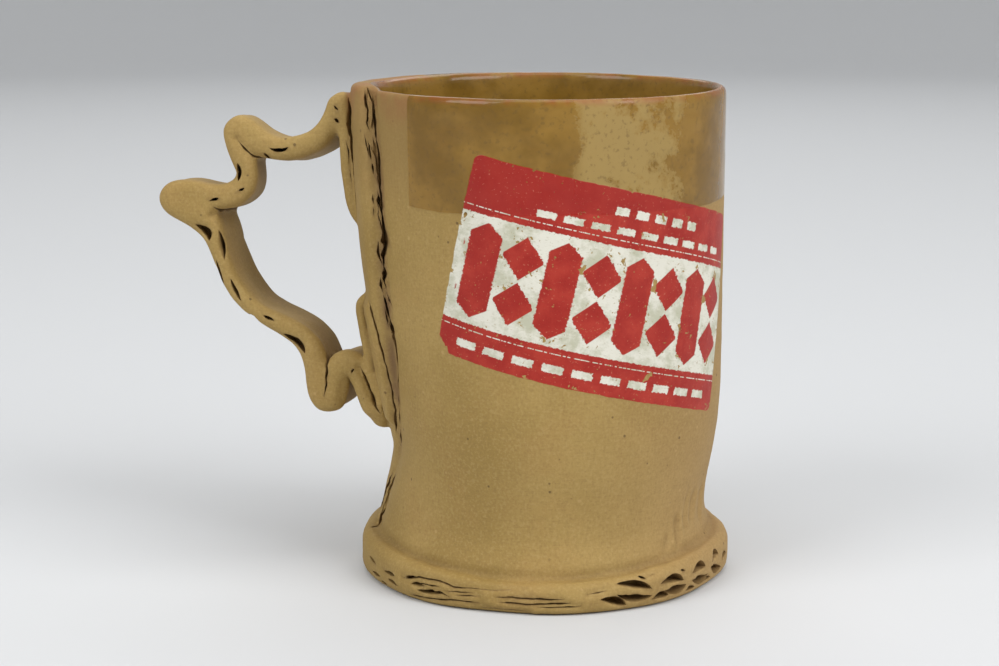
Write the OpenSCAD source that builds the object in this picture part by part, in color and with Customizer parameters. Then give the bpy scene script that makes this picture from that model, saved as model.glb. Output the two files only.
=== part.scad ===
// Cracked mug.
// A slab-built stoneware mug made to look like worn corrugated cardboard.  Its wall is one rolled
// slab whose outer end stands proud on the handle side and has cracked open along its edge.  It
// stands on a thick slab with fluted slots in its edge, and its handle is one crumpled ribbon,
// folded back on itself and pressed flat on the wall at both ends.  All of it is fired into one
// piece, so it is one solid.
// Millimetres.  The origin is the middle of the underside, +Z is up and the handle is towards -X.
// Angles are in degrees round Z, counted from +X, so the handle side is at 180.

/* [Body] */
// Height of the rim above the table
rim_z = 119.5; // [104:0.5:144]
// Outer radius of the rolled wall
body_r = 43.3; // [38:0.1:52]
// Thickness of the wall
wall_t = 3.5; // [3:0.1:5]
// Thickness of the lip
lip_t = 2.4; // [1.8:0.1:3]
// Height of the lip's rounded part
lip_h = 1.3; // [0.8:0.1:2]
// Height that the wall takes to thicken from the lip
lip_taper = 25; // [10:1:40]
// Height of the floor inside above the table
floor_z = 8; // [7:0.5:14]
// Radius between the floor and the wall inside
fillet_r = 6; // [3:0.5:10]
// How far the wall strays from round
wobble = 0.3; // [0:0.05:0.8]

/* [Waist] */
// How far the body draws in above the foot
waist_depth = 3.6; // [0:0.2:5]
// Height of the waist
waist_z = 17; // [14:1:30]
// Reach of the waist upwards
waist_above = 16; // [8:1:30]
// Reach of the waist downwards
waist_below = 9; // [6:1:15]

/* [Dent] */
// Depth of the dent pushed in behind the handle's lower end
dent_depth = 6.5; // [0:0.5:8]
// Height of its deepest point
dent_z = 35; // [25:1:60]
// Angle of its deepest point
dent_a = 188; // [170:1:200]
// Reach of the dent upwards
dent_above = 40; // [15:1:50]
// Reach of the dent downwards
dent_below = 13; // [8:1:20]
// Reach of the dent sideways, in degrees
dent_side = 50; // [25:1:70]

/* [Slab end] */
// How far the slab's outer end stands proud near the rim
proud_top = 3.6; // [2:0.1:5]
// How far it stands proud near the foot
proud_foot = 1.2; // [0.5:0.1:3]
// Width of its rounded edge, in degrees
edge_a = 8; // [5:0.5:12]
// Stretch from the edge that keeps its full height, in degrees
proud_keep = 50; // [30:5:80]
// Stretch in which it fades into the wall, in degrees
proud_fade = 60; // [30:5:100]
// How far its end rises above the rim
proud_rise = 1; // [0:0.1:2]

/* [Crack] */
// Width of the crack down the slab's end
crack_w = 1.1; // [0.6:0.1:2]
// Depth of the crack
crack_d = 2; // [1:0.1:2.2]
// How far the crack strays from the slab's edge, in degrees
crack_jag = 0.9; // [0:0.1:1.5]
// Height of one step along the crack
crack_step = 3.6; // [2.5:0.1:6]

/* [Foot slab] */
// How far the foot slab stands out from the wall
foot_ledge = 2.3; // [1:0.1:4]
// Thickness of its edge at the front
foot_t = 8; // [6.5:0.5:11]
// How much higher its edge curls up at the sides and the back
foot_curl = 2.8; // [0:0.2:4]
// Depth of the waves in its edge
foot_wave = 0.35; // [0:0.05:0.8]
// Depth of the fluted slots in its edge
slot_d = 3.5; // [1:0.5:5]

/* [Handle] */
// Width of the ribbon
ribbon_w = 22; // [16:1:28]
// Bevel along the ribbon's edges
ribbon_bevel = 0.9; // [0.4:0.1:1]
// How much lower the ribbon's far edge lies than its near edge
far_drop = 2; // [0:0.5:3]
// How much further out the far edge lies in the upper folds
far_out = 2.8; // [0:0.2:4]
// Depth of the slots in the ribbon's edges
flute_d = 5; // [2:0.5:7]
// Width of the creases where folds press together
crease_w = 0.7; // [0.4:0.1:1.2]
// Depth of those creases
crease_d = 2.2; // [1:0.1:4]

/* [Smoothness] */
// Steps round the wall
wall_steps = 72; // [48:12:96]
// Steps up the outside of the wall
rise_steps = 12; // [10:1:18]
// Steps up the inside of the wall
inside_steps = 5; // [4:1:8]
// Steps round the foot slab
foot_steps = 60; // [48:12:96]

/* [Hidden] */

// Middle of the angles that the slab's edge wanders over
seam_mid = 205;
// Height at which the wall starts, sunk in the foot slab
wall_z = 2;
// Angle of the front, where the foot slab lies flattest
front_a = 275;
// The folds, slots, cracks and tears below are drawn on a mug of this wall radius and rim height,
// with a foot slab of this thickness, and they move with the wall, the rim and the slab
drawn_r = 43.3;
drawn_z = 119.5;
drawn_t = 8;
// Angle from which something points straight out of the handle's near and far edge
near_a = 270;
far_a = 90;
// Slots shorter than this have closed up along the ribbon's far edge
far_least = 3;

// The slab's outer edge wanders as it goes up: [height as a share of the rim's, angle]
seam = [[0, 192], [0.13, 193], [0.21, 198], [0.28, 208], [0.37, 213], [0.5, 215], [0.62, 214],
        [0.72, 216], [0.86, 214.5], [0.93, 212.5], [1, 210]];

// The ribbon's folds, from its upper end round to its lower end: [x, z, thickness].  The handle is
// modelled by hand, so its folds follow no rule.
folds = [
    // Upper end, pressed flat on the slab's end, up to the first fold
    [-44.6, 87.6, 2.8], [-45.8, 91, 3.2], [-46.6, 96.5, 3.2], [-47.3, 102.5, 3], [-47.5, 108.5, 3],
    [-47.6, 113, 3], [-48, 115.8, 3.8], [-49.4, 115, 4], [-50.5, 112.5, 4.4],
    // Out to the second fold and back down
    [-52, 109, 4.8], [-54.7, 106, 5.2], [-58.5, 104.3, 5.2], [-62.5, 103.5, 5.2],
    [-66.3, 104.1, 5.4], [-69.4, 105.6, 6.4], [-71.5, 108.2, 5.4], [-73.6, 109.3, 5.4],
    [-75.2, 108, 5.6], [-74.4, 105.4, 6], [-73.1, 102.6, 6.2], [-72.4, 99.7, 5.4],
    [-72, 97, 5.2], [-72.6, 94.5, 5.4], [-74.8, 92.6, 5.6],
    // Out to the tip and back underneath
    [-78, 91.6, 5.5], [-82.5, 92, 5.4], [-87, 93, 5.4], [-90.6, 92.8, 5.2], [-92, 91, 5.4],
    [-90.8, 89.4, 5.2], [-87.1, 88.2, 6.4], [-83.6, 86.4, 7.4],
    // The long run down
    [-81.2, 83.2, 5.4], [-80, 79.4, 4.5], [-78.9, 75.8, 4.4], [-77.3, 71.8, 4.4],
    [-75, 68, 4.4], [-71.8, 64.6, 4.4], [-68, 62.2, 4.5], [-63.7, 60.3, 4.8], [-59.7, 58, 5.3],
    [-56.9, 55, 5.3], [-55.4, 51, 5.4], [-55, 47, 5.5],
    // The first lower fold, up over the arch and down again
    [-54.8, 43.8, 5.2], [-53.3, 41.6, 5.4], [-51.2, 42.1, 5], [-50.4, 45, 5.1],
    [-50.3, 48.4, 5.1], [-49.2, 50.9, 5], [-46.9, 51.7, 5], [-44.7, 50.2, 5],
    [-43.4, 47.2, 4.8], [-42.1, 43.8, 4.6], [-40.6, 40.4, 4.4],
    // The last fold and the lower end, pressed flat on the wall
    [-38.9, 37.6, 4.8], [-37.4, 39.4, 3.8], [-38.1, 43, 4.2], [-39.8, 49.6, 4.4],
    [-41.3, 56.8, 3.6], [-42.5, 63.2, 3], [-43.1, 67.5, 2.2]];

// Fluted slots in the ribbon's edges: [x, z, length, bulge up, bulge down, tilt, skew]
flutes = [
    [-63.3, 104.6, 4.7, -0.3, 1.2, 3, 0], [-66.8, 102, 2, 0.3, 0.4, -41, 0],
    [-74.2, 98, 4.4, 0.9, 0.3, -89, 0], [-73.4, 93.8, 1.9, 0.3, 0.3, 26, 0],
    [-80.1, 91.3, 2.6, 0.3, 0.4, 12, 0.5], [-83.4, 82.9, 5.4, 2, 0, -50, 0.5],
    [-78.7, 79.9, 7.4, 0.5, 0.5, -78, 0], [-80, 72.9, 6.2, 0.3, 0.4, -73, 0],
    [-75.1, 68.9, 6, 0.1, 0.7, -64, 0], [-71.2, 62, 3.3, 0.4, 0.4, -35, 0],
    [-67, 62.1, 2.8, 0.4, 0.4, -22, 0], [-60.6, 55.9, 7.2, 1.7, 0.1, -40, 0.3],
    [-49.2, 114, 1.4, 0.25, 0.25, -51, 0], [-49.2, 110.9, 1.4, 0.5, 0.3, -44, 0]];

// Creases where two stretches of the ribbon press together: points [x, z]
creases = [
    [[-74, 106], [-72.5, 103.9], [-70.8, 102.2], [-69.1, 101]],
    [[-84.2, 89.4], [-81.6, 88.9]],
    [[-52.6, 51.6], [-52.9, 47.4], [-52.8, 43]],
    [[-43.3, 50.2], [-41.6, 45.8], [-39.7, 41.1], [-38.6, 38.9]]];

// Slots in the foot slab's edge where it shows its flutes: [angle, z, length, up, down, tilt, skew]
foot_slots = [
    [212, 5.4, 4.2, 0.4, 0.4, -13, 0], [215, 2.6, 4.6, 0.4, 0.4, 0, 0],
    [220, 1.4, 2.8, 0.3, 0.4, -4, 0], [224, 4.6, 5, 0.5, 0.4, 0, 0.3],
    [226, 2.8, 4.2, 0.4, 0.4, -9, 0], [235, 5.8, 4.1, 0.3, 0.3, 8, 0],
    [238, 4.4, 4.3, 0.4, 0.4, 2, -0.5], [242.5, 3.3, 7.6, 0.3, 0.6, 3, -0.3],
    [299, 2.6, 6, 0.9, 0.3, -17, 0.3], [306, 5.7, 8, 0.9, 0.2, -13, 0.3],
    [306, 3.7, 8, 0, 1, -8, 0], [309, 7.4, 1.8, 0.3, 0.3, -22, 0],
    [315, 2.1, 4.4, 0.8, 0.2, 2, 0.5], [320, 5, 6.8, 1.2, 0.1, -5, 0.3],
    [321.5, 3.5, 6.4, 0.1, 1.1, 0, 0.2], [325, 7, 1.5, 0.3, 0.3, -17, 0],
    [329, 1.8, 3.8, 0.6, 0.4, -1, 0], [334, 5.5, 5.6, 1.2, 0.2, 1, 0.3],
    [335, 3.5, 7.4, 0.1, 1.1, -4, 0.2], [340.5, 1.9, 3, 0.5, 0.4, 6, 0],
    [346.5, 6, 3.6, 1.2, 0.2, 14, 0.4], [347, 3.6, 6, 0.3, 1, -14, 0],
    [355, 4.6, 3.2, 0.8, 0.4, 12, 0]];

// Long thin cracks along the foot slab's front: points [angle, z]
foot_cracks = [
    [[239, 6.2], [246, 6.1], [249, 5.5], [262, 5.7]],
    [[251, 3.6], [259, 3.9]],
    [[250, 3.1], [254, 2.3], [259, 2]],
    [[263, 3.8], [272, 3.9], [283, 3.8]],
    [[265, 2.8], [275, 3.1], [286, 2.9]]];

// Pockets torn beside the crack: points [degrees before the slab's edge, z]
tears = [
    [[9, 104], [6, 99.5], [2, 95.5]],
    [[7, 90.5], [5.5, 87.5]],
    [[6, 82.5], [7, 80.5], [3, 78.5]],
    [[-0.5, 71.5], [-2.5, 70], [-4.5, 68]],
    [[3.2, 24], [3.6, 18], [2.4, 13.5]]];

// The torn layer that stands up inside the crack near the rim: points [degrees before, z]
torn_layer = [[1.4, 117], [0.6, 112], [1.6, 107], [0.4, 102], [1.2, 97]];

// Pinched pleats where the wall was pressed onto the foot slab: [angle, low z, high z, width, depth]
pleats = [[334, 10.5, 19, 2, 0.6], [339, 13, 25, 1.6, 0.5], [343, 15, 23, 1.4, 0.45]];

function smooth(x) = let(t = max(0, min(1, x))) t * t * (3 - 2 * t);
function bell(x, spread) = exp(-pow(x / spread, 2));
function polar(a, r, z) = [r * cos(a), r * sin(a), z];

// Where something drawn lies on this mug: on the handle, on the wall or on the foot slab's edge
function on_handle(x, z) = [x - (body_r - drawn_r), z * rim_z / drawn_z];
function on_wall(z) = z * rim_z / drawn_z;
function on_foot(z) = z * foot_t / drawn_t;

// The angle from one direction to another, from -180 to 180
function off(a, from) = (a - from + 900) % 360 - 180;

// Radius of the wall's outside before the slab's proud end is added
function waist(z) = waist_depth * bell(z - waist_z, z > waist_z ? waist_above : waist_below);
function dent(a, z) = dent_depth * bell(z - dent_z, z > dent_z ? dent_above : dent_below)
    * bell(off(a, dent_a), dent_side);
function stray(a, z) = wobble * (sin(2 * a + 40) + sin(3 * a + z)) / 2;
function plain_r(a, z) = body_r - waist(z) - dent(a, z) + stray(a, z);

// The slab's proud end: turn is the angle covered back from its edge, from 0 to 360
function seam_a(z) = lookup(z / rim_z, seam);
function wall_a(turn, z) = seam_mid - turn
    + (seam_a(z) - seam_mid) * smooth(abs(turn - 180) / 90 - 1);
function edge(turn) = sqrt(1 - pow(1 - min(1, turn / edge_a), 2));
function proud(turn, z) = edge(turn) * (1 - smooth((turn - proud_keep) / proud_fade))
    * (proud_foot + (proud_top - proud_foot) * smooth((z / rim_z - 0.17) / 0.37));
function wall_r(a, z) = plain_r(a, z) + proud((seam_a(z) - a + 720) % 360, z);
function rim_at(turn) = rim_z + proud_rise * edge(turn) * (1 - smooth(turn / proud_keep));
function thickness(z) = wall_t - (wall_t - lip_t) * smooth(1 - (rim_z - z) / lip_taper);

// The steps round the wall, closer together on the slab's rounded edge
turns = concat([for (i = [wall_steps : -1 : 1]) edge_a + i * (360 - edge_a) / wall_steps],
               [for (b = [90 : -22.5 : 22.5]) edge_a * (1 - cos(b))]);

// One ring of each kind of surface, from the bottom outside, over the lip, down to the floor
function outside(share) = [for (t = turns)
    let(z = wall_z + (rim_at(t) - lip_h - wall_z) * pow(share, 1.6), a = wall_a(t, z))
    polar(a, plain_r(a, z) + proud(t, z), z)];
function lip(b) = [for (t = turns)
    let(z = rim_at(t), a = wall_a(t, z), near = plain_r(a, z) - lip_t,
        far = near + lip_t + proud(t, z))
    polar(a, (far + near + (far - near) * cos(b)) / 2, z - lip_h * (1 - sin(b)))];
function inside(share) = [for (t = turns)
    let(top = rim_at(t) - lip_h, z = top - (top - floor_z - fillet_r) * share,
        a = wall_a(t, rim_z))
    polar(a, plain_r(a, z) - thickness(z), z)];
function hollow(b) = [for (t = turns)
    let(z = floor_z + fillet_r * (1 - sin(b)), a = wall_a(t, rim_z))
    polar(a, plain_r(a, floor_z + fillet_r) - wall_t - fillet_r * (1 - cos(b)), z)];

// Height of the foot slab's edge, and its outline
function foot_top(a) = foot_t + foot_curl * (1 - bell(off(a, front_a), 55));
function foot_edge(a) = body_r + foot_ledge + foot_wave * (sin(5 * a + 20) + 0.7 * sin(9 * a + 80));
function foot_ring(inset, z) = [for (i = [0 : foot_steps - 1])
    let(a = 360 * i / foot_steps)
    polar(a, foot_edge(a) - inset, z < 0 ? foot_top(a) + z : z)];

// A lens or crescent, pointed at both ends and fatter at one end where it has a skew
function lens(length, up, down, skew) = concat(
    [for (t = [-1 : 0.5 : 1]) [t * length / 2, up * (1 - t * t) * (1 + skew * t)]],
    [for (t = [0.5 : -0.5 : -0.5]) [t * length / 2, -down * (1 - t * t) * (1 + skew * t)]]);

// A closed skin over rings that have the same number of points, capped at two middle points
module skin(rings, first, last) {
    n = len(rings[0]);
    top = len(rings) - 1;
    polyhedron(
        concat([for (r = rings) each r], [first, last]),
        concat(
            [for (j = [0 : top - 1], i = [0 : n - 1]) let(k = (i + 1) % n)
                each [[j * n + i, (j + 1) * n + i, j * n + k],
                      [(j + 1) * n + i, (j + 1) * n + k, j * n + k]]],
            [for (i = [0 : n - 1]) [n * (top + 1), i, (i + 1) % n]],
            [for (i = [0 : n - 1]) [n * (top + 1) + 1, top * n + (i + 1) % n, top * n + i]]));
}

// A slot cut into a surface whose outward direction is the angle a
module slot(p, a, shape, depth)
    translate(p) rotate([0, 0, a]) rotate([shape[5], 0, 0]) translate([-depth, 0, 0])
        rotate([90, 0, 90])
            linear_extrude(depth + 3) polygon(lens(shape[2], shape[3], shape[4], shape[6]));

// A pointed cutter, and a groove that runs through a list of [point, outward angle, width, depth]
module point_at(p)
    translate(p[0]) rotate([0, 0, p[1]]) scale([p[3], p[2] / 2, p[2] / 2])
        polyhedron([[1, 0, 0], [-1, 0, 0], [0, 1, 0], [0, -1, 0], [0, 0, 1], [0, 0, -1]],
                   [[0, 4, 2], [2, 4, 1], [1, 4, 3], [3, 4, 0],
                    [2, 5, 0], [1, 5, 2], [3, 5, 1], [0, 5, 3]]);
module groove(path)
    for (i = [1 : len(path) - 1])
        hull() {
            point_at(path[i - 1]);
            point_at(path[i]);
        }

// The rolled wall with its lip, the hollow inside and the floor
module cup()
    skin(concat([for (i = [0 : rise_steps]) outside(i / rise_steps)],
                [for (b = [36 : 36 : 144]) lip(b)],
                [for (i = [0 : inside_steps]) inside(i / inside_steps)],
                [for (b = [30 : 30 : 90]) hollow(b)]),
         [0, 0, wall_z], [0, 0, floor_z]);

// The thick slab underneath, with a soft upper edge and a flat underside
module foot_slab()
    skin([foot_ring(2, 0), foot_ring(0.5, 0.7), foot_ring(0, 2.45), foot_ring(0.1, -3),
          foot_ring(0.9, -1.2), foot_ring(2.5, -0.2), foot_ring(6, -0.6), foot_ring(12, wall_z + 1)],
         [0, 0, 0], [0, 0, wall_z + 1]);

// How far the ribbon's far edge lies from its near edge, at a point as drawn
function lean(x, z) = [
    -far_out * smooth((z - 88) / 6) * smooth((-64 - x) / 6),
    -far_drop];

// The ribbon at one fold, with beveled edges
module rung(fold) {
    r = fold[2] / 2;
    bevel = min(ribbon_bevel, r / 2);
    at = on_handle(fold[0], fold[1]);
    move = lean(fold[0], fold[1]);
    translate([at[0], -ribbon_w / 2, at[1]]) rotate([-90, 0, 0])
        cylinder(bevel, r - bevel, r, $fn = 10);
    translate([at[0] + move[0], ribbon_w / 2, at[1] + move[1]]) rotate([90, 0, 0])
        cylinder(bevel, r - bevel, r, $fn = 10);
}

module ribbon()
    for (i = [1 : len(folds) - 1])
        hull() {
            rung(folds[i - 1]);
            rung(folds[i]);
        }

// Slants cutters so that they run across the ribbon from its near edge to its far edge
module slant(move)
    multmatrix([[1, move[0] / ribbon_w, 0, move[0] / 2],
                [0, 1, 0, 0],
                [0, move[1] / ribbon_w, 1, move[1] / 2],
                [0, 0, 0, 1]])
        children();

// Slots and creases in both edges of the ribbon
module ribbon_cuts() {
    for (f = flutes) {
        at = on_handle(f[0], f[1]);
        slant(lean(f[0], f[1])) {
            slot([at[0], -ribbon_w / 2, at[1]], near_a, f, flute_d);
            if (f[2] > far_least)
                slot([at[0], ribbon_w / 2, at[1]], far_a,
                     [0, 0, f[2], f[3], f[4], -f[5], -f[6]], flute_d);
        }
    }
    for (path = creases) {
        groove([for (p = path) let(at = on_handle(p[0], p[1]))
            [[at[0], -ribbon_w / 2, at[1]], near_a, crease_w, crease_d]]);
        groove([for (p = path) let(at = on_handle(p[0], p[1]), move = lean(p[0], p[1]))
            [[at[0] + move[0], ribbon_w / 2, at[1] + move[1]], far_a, crease_w, crease_d]]);
    }
}

// The crack down the slab's edge: it strays and varies in width as it goes
function jag(z) = crack_jag * (sin(97 * z) + sin(41 * z + 60)) / 2;
function gape(z) = 0.55 + 0.45 * sin(19 * z) * sin(7 * z + 30) + smooth((z / rim_z - 0.75) / 0.08);
module seam_crack() {
    levels = [for (z = [foot_t + 1 : crack_step : rim_z - 1]) z];
    groove([for (z = levels) let(a = seam_a(z) + jag(z))
        [polar(a, plain_r(a, z), z), a, crack_w * gape(z), crack_d]]);
    for (path = tears)
        groove([for (p = path) let(z = on_wall(p[1]), a = seam_a(z) - p[0])
            [polar(a, wall_r(a, z), z), a, crack_w, crack_d]]);
}

// The torn layer inside the crack near the rim
module torn_strip()
    groove([for (p = torn_layer) let(z = on_wall(p[1]), a = seam_a(z) - p[0])
        [polar(a, plain_r(a, z) - 0.6, z), a, 0.8, 1.8]]);

// Slots and cracks in the foot slab's edge.  At the back the flutes go on as plain pairs.
module foot_cuts() {
    for (f = foot_slots)
        slot(polar(f[0], foot_edge(f[0]), on_foot(f[1])), f[0], f, slot_d);
    for (path = foot_cracks)
        groove([for (p = path)
            [polar(p[0], foot_edge(p[0]), on_foot(p[1])), p[0], 0.7, 1.3]]);
    for (a = [15 : 20 : 195])
        for (side = [-1, 1]) {
            shape = [a, drawn_t / 2 + side, 6 + sin(7 * a), side > 0 ? 1 : 0.1,
                     side > 0 ? 0.1 : 1, 4 * sin(5 * a), 0];
            slot(polar(a, foot_edge(a), on_foot(shape[1])), a, shape, slot_d);
        }
}

module pleat_cuts()
    for (p = pleats)
        groove([for (k = [0, 0.5, 1]) let(z = p[1] + (p[2] - p[1]) * k)
            [polar(p[0] + 2 * k, plain_r(p[0], z) + 0.1, z), p[0], p[3] * (1.2 - k), p[4]]]);

module mug()
    color("#a8905c") {
        difference() {
            union() {
                cup();
                foot_slab();
                ribbon();
            }
            seam_crack();
            pleat_cuts();
            foot_cuts();
            ribbon_cuts();
        }
        torn_strip();
    }

mug();
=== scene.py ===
import math

import bmesh
import bpy
import numpy as np
from mathutils import Matrix


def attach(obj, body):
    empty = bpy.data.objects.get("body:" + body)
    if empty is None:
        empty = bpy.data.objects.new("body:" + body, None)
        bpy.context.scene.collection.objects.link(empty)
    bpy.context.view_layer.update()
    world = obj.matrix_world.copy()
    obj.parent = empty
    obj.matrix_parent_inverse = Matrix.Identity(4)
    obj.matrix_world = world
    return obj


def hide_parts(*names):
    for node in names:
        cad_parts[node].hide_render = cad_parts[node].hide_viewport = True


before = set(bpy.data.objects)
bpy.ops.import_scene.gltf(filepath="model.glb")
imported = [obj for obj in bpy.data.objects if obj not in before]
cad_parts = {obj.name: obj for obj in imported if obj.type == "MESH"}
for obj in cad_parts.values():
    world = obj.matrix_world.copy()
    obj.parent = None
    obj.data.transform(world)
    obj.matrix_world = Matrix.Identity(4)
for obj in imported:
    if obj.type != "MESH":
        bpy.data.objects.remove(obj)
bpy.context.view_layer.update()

# Lengths below are millimetres unless a name says otherwise.  The origin is the middle of the
# underside, +Z is up and the handle is towards -X.  Angles are degrees round Z from +X.
MM = 0.001
VOXEL = 0.4
TRIANGLES = 190000

# The body's shape, as the CAD part has it
RIM_Z, BODY_R, WALL_T, LIP_T, WOBBLE = 119.5, 43.3, 3.5, 2.4, 0.3
WAIST = dict(depth=3.6, z=17, above=16, below=9)
DENT = dict(depth=6.5, z=35, a=188, above=40, below=13, side=50)
PROUD = dict(top=3.6, foot=1.2, edge=8, keep=50, fade=60)
FOOT_R, FOOT_T, FOOT_CURL, FRONT_A = 45.6, 8, 2.8, 275
FOOT_DEGREE = 0.8   # one degree's length round the foot's edge
RIBBON_W, FAR_DROP, FAR_OUT = 22, 2, 2.8
SEAM = [(0, 192), (0.13, 193), (0.21, 198), (0.28, 208), (0.37, 213), (0.5, 215), (0.62, 214),
        (0.72, 216), (0.86, 214.5), (0.93, 212.5), (1, 210)]


def smooth(x):
    t = np.clip(x, 0, 1)
    return t * t * (3 - 2 * t)


def bell(x, spread):
    return np.exp(-(x / spread) ** 2)


def off(a, centre):
    return (a - centre + 900) % 360 - 180


def hollow_at(z, hollow):
    """How deep the waist or the dent is at the height z."""
    reach = np.where(z > hollow["z"], hollow["above"], hollow["below"])
    return hollow["depth"] * bell(z - hollow["z"], reach)


def plain_r(a, z):
    """The wall's outer radius without the slab's proud end."""
    dent = hollow_at(z, DENT) * bell(off(a, DENT["a"]), DENT["side"])
    stray = WOBBLE * (np.sin(np.radians(2 * a + 40)) + np.sin(np.radians(3 * a + z))) / 2
    return BODY_R - hollow_at(z, WAIST) - dent + stray


def seam_a(z):
    """The angle at which the slab's proud end stops."""
    return np.interp(z / RIM_Z, [s for s, a in SEAM], [a for s, a in SEAM])


def thickness(z):
    return WALL_T - (WALL_T - LIP_T) * smooth(1 - (RIM_Z - z) / 25)


def turn_at(a, z):
    """Degrees from the proud end's edge, counted into the proud part."""
    return (seam_a(z) - a + 720) % 360


def wall_r(a, z):
    """The wall's outer radius, with the proud end."""
    turn = turn_at(a, z)
    edge = np.sqrt(1 - (1 - np.minimum(1, turn / PROUD["edge"])) ** 2)
    height = PROUD["foot"] + (PROUD["top"] - PROUD["foot"]) * smooth((z / RIM_Z - 0.17) / 0.37)
    return plain_r(a, z) + edge * (1 - smooth((turn - PROUD["keep"]) / PROUD["fade"])) * height


def past_edge(a, z, r):
    """Millimetres along the wall from the proud end's edge, less than 0 on the bare wall."""
    return ((turn_at(a, z) + 20) % 360 - 20) * math.radians(1) * r


def foot_top(a):
    return FOOT_T + FOOT_CURL * (1 - bell(off(a, FRONT_A), 55))


def noise(p, cell, seed):
    """Smooth noise from -1 to 1 at the points p, with one random value a cell."""
    q = np.asarray(p, float) / cell
    i = np.floor(q).astype(np.int64)
    f = q - i
    f = f * f * (3 - 2 * f)
    total = np.zeros(len(q))
    for corner in range(8):
        d = np.array([corner & 1, corner >> 1 & 1, corner >> 2 & 1])
        k = ((i + d) * np.array([73856093, 19349663, 83492791])).sum(1) ^ (seed * 668265263)
        k = (k ^ (k >> 13)) * 1274126177 & 0x7FFFFFFF
        value = ((k ^ (k >> 15)) & 0xFFFF) / 32767.5 - 1
        total += value * np.prod(np.where(d, f, 1 - f), axis=1)
    return total


def circle(a):
    return np.cos(np.radians(a)), np.sin(np.radians(a))


# ---------------------------------------------------------------- mesh helpers
def coords(mesh):
    co = np.empty(len(mesh.vertices) * 3, np.float32)
    mesh.vertices.foreach_get("co", co)
    return co.reshape(-1, 3).astype(float)


def set_coords(mesh, co):
    mesh.vertices.foreach_set("co", co.astype(np.float32).ravel())
    mesh.update()


def normals(mesh):
    n = np.empty(len(mesh.vertices) * 3, np.float32)
    mesh.vertex_normals.foreach_get("vector", n)
    return n.reshape(-1, 3).astype(float)


def edges_of(mesh):
    e = np.empty(len(mesh.edges) * 2, np.int32)
    mesh.edges.foreach_get("vertices", e)
    return e.reshape(-1, 2)


def relax(co, edges, wanted, step=0.6):
    """Each point moves towards the middle of its neighbours, wanted times."""
    a, b = edges[:, 0], edges[:, 1]
    n = len(co)
    degree = np.maximum(np.bincount(a, minlength=n) + np.bincount(b, minlength=n), 1)
    for turn in range(int(np.ceil(wanted.max()))):
        weight = step * np.clip(wanted - turn, 0, 1)
        for k in range(3):
            x = co[:, k]
            middle = (np.bincount(a, x[b], n) + np.bincount(b, x[a], n)) / degree
            co[:, k] = x + weight * (middle - x)
    return co


def spread(value, edges, rounds):
    """A value on the points, averaged with the neighbours' over and over."""
    a, b = edges[:, 0], edges[:, 1]
    n = len(value)
    degree = np.maximum(np.bincount(a, minlength=n) + np.bincount(b, minlength=n), 1)
    for _ in range(rounds):
        value = (value + (np.bincount(a, value[b], n) + np.bincount(b, value[a], n)) / degree) / 2
    return value


def apply(obj, kind, **settings):
    """Adds one modifier, applies it and leaves the result as the object's mesh."""
    modifier = obj.modifiers.new(kind.lower(), kind)
    for key, value in settings.items():
        setattr(modifier, key, value)
    result = bpy.data.meshes.new_from_object(
        obj.evaluated_get(bpy.context.evaluated_depsgraph_get()))
    obj.modifiers.clear()
    old, obj.data = obj.data, result
    bpy.data.meshes.remove(old)


def new_object(name, mesh):
    obj = bpy.data.objects.new(name, mesh)
    bpy.context.scene.collection.objects.link(obj)
    return obj


# ---------------------------------------------------------------- the body's form
def polar(co):
    return np.hypot(co[:, 0], co[:, 1]), np.degrees(np.arctan2(co[:, 1], co[:, 0])) % 360


def ribbon_zone(co):
    """1 where the handle's ribbon meets the wall, falling to 0 round it."""
    x, y, z = co.T
    side = smooth((RIBBON_W / 2 + 3.5 - np.abs(y)) / 2)
    return side * (x < 0) * smooth((z - 32) / 2)


def off_the_wall(co):
    """1 on the ribbon itself, 0 on the cup."""
    r, a = polar(co)
    return (smooth((r - wall_r(a, co[:, 2]) - 0.6) / 0.8) * (co[:, 0] < -30)
            * smooth((co[:, 2] - 33) / 3))


def even_out(co):
    """Puts the wall's outside back on its true curve, without facets or the old grooves."""
    r, a = polar(co)
    z = co[:, 2]
    target = wall_r(a, z)
    keep = (smooth((z - foot_top(a) - 0.6) / 1.5) * smooth((RIM_Z - 1.8 - z) / 1.2)
            * (1 - ribbon_zone(co)) * (np.abs(r - target) < 2.9)
            * (r > plain_r(a, z) - thickness(z) / 2))
    near = r + keep * (target - r)
    co[:, 0] *= near / r
    co[:, 1] *= near / r
    return co


body = new_object("mug_body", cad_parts["mug"].data.copy())
body.data.materials.clear()
skin, torn = bpy.data.materials.new("skin"), bpy.data.materials.new("torn")
body.data.materials.append(skin)
set_coords(body.data, coords(body.data) / MM)
bm = bmesh.new()
bm.from_mesh(body.data)
bmesh.ops.remove_doubles(bm, verts=bm.verts, dist=0.002)
bm.to_mesh(body.data)
bm.free()
apply(body, "REMESH", mode="VOXEL", voxel_size=VOXEL, adaptivity=0)
co = even_out(coords(body.data))
edges = edges_of(body.data)
r, a = polar(co)
z = co[:, 2]
handle = off_the_wall(co)
inner = r < plain_r(a, z) - thickness(z) / 2
wanted = np.where(inner, 30, 8) + 34 * handle * (1 - ribbon_zone(co) * smooth((r - 40) / -4))
wanted = np.where((z < foot_top(a) + 2) & (r > 36), 6, wanted)
wanted = np.where(z < 0.2, 2, wanted)
wanted = np.where(z > RIM_Z - 5, np.minimum(wanted, 5), wanted)
co = relax(co, edges, wanted * (0.4 / VOXEL) ** 2)
co[:, 2] = np.maximum(co[:, 2], 0)
set_coords(body.data, co)
grow = normals(body.data) * (0.22 * off_the_wall(co))[:, None]
set_coords(body.data, co + grow)
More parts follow.
